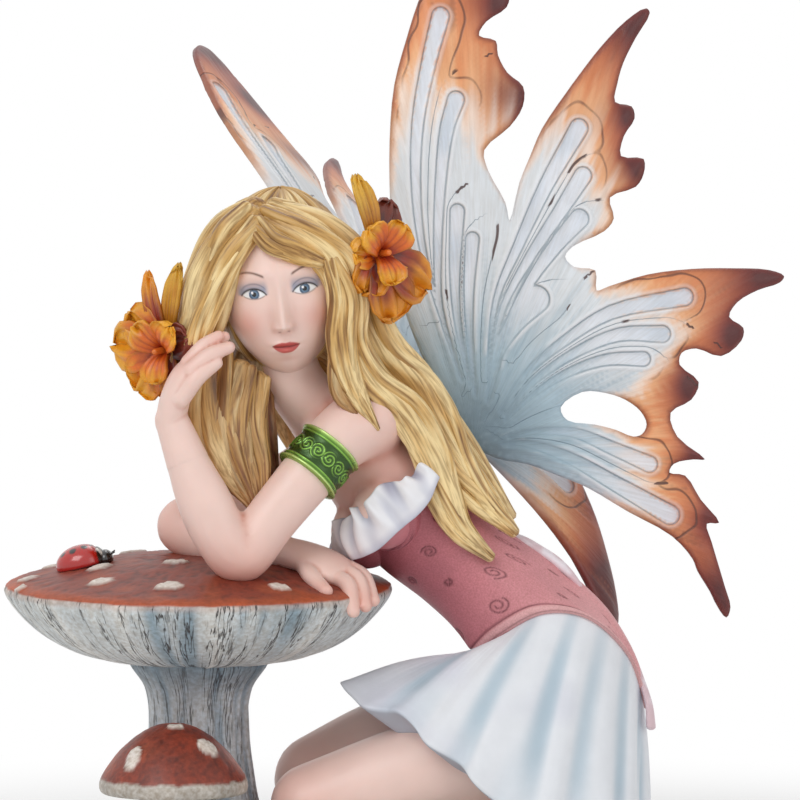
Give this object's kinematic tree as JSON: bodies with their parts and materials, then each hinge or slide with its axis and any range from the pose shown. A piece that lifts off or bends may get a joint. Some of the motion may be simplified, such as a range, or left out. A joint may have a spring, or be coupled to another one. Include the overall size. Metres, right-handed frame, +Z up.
{
  "type": "fairy figurine",
  "caption": "Cast resin figurine of a winged fairy who kneels on mossy ground and leans on a broad toadstool, chin on hand, with flowers in the hair.",
  "frame": {"origin": "under the ground the figure kneels on, near the middle of its flat foot", "axes": "+X to the viewer's right, +Y away from the viewer, +Z up; the camera's side is -Y"},
  "size_m": [0.1954, 0.1744, 0.2382],
  "materials": {
    "casting": "hand-painted cast resin, satin",
    "wings": "hand-painted cast resin, satin",
    "flowers": "hand-painted cast resin, satin",
    "ladybird": "painted cast resin, glossy"
  },
  "bodies": {
    "root": {"fairy_and_toadstools": "casting", "left_wing": "wings", "right_wing": "wings", "left_hair_flower": "flowers", "right_hair_flower": "flowers", "ladybird": "ladybird"}
  },
  "joints": []
}
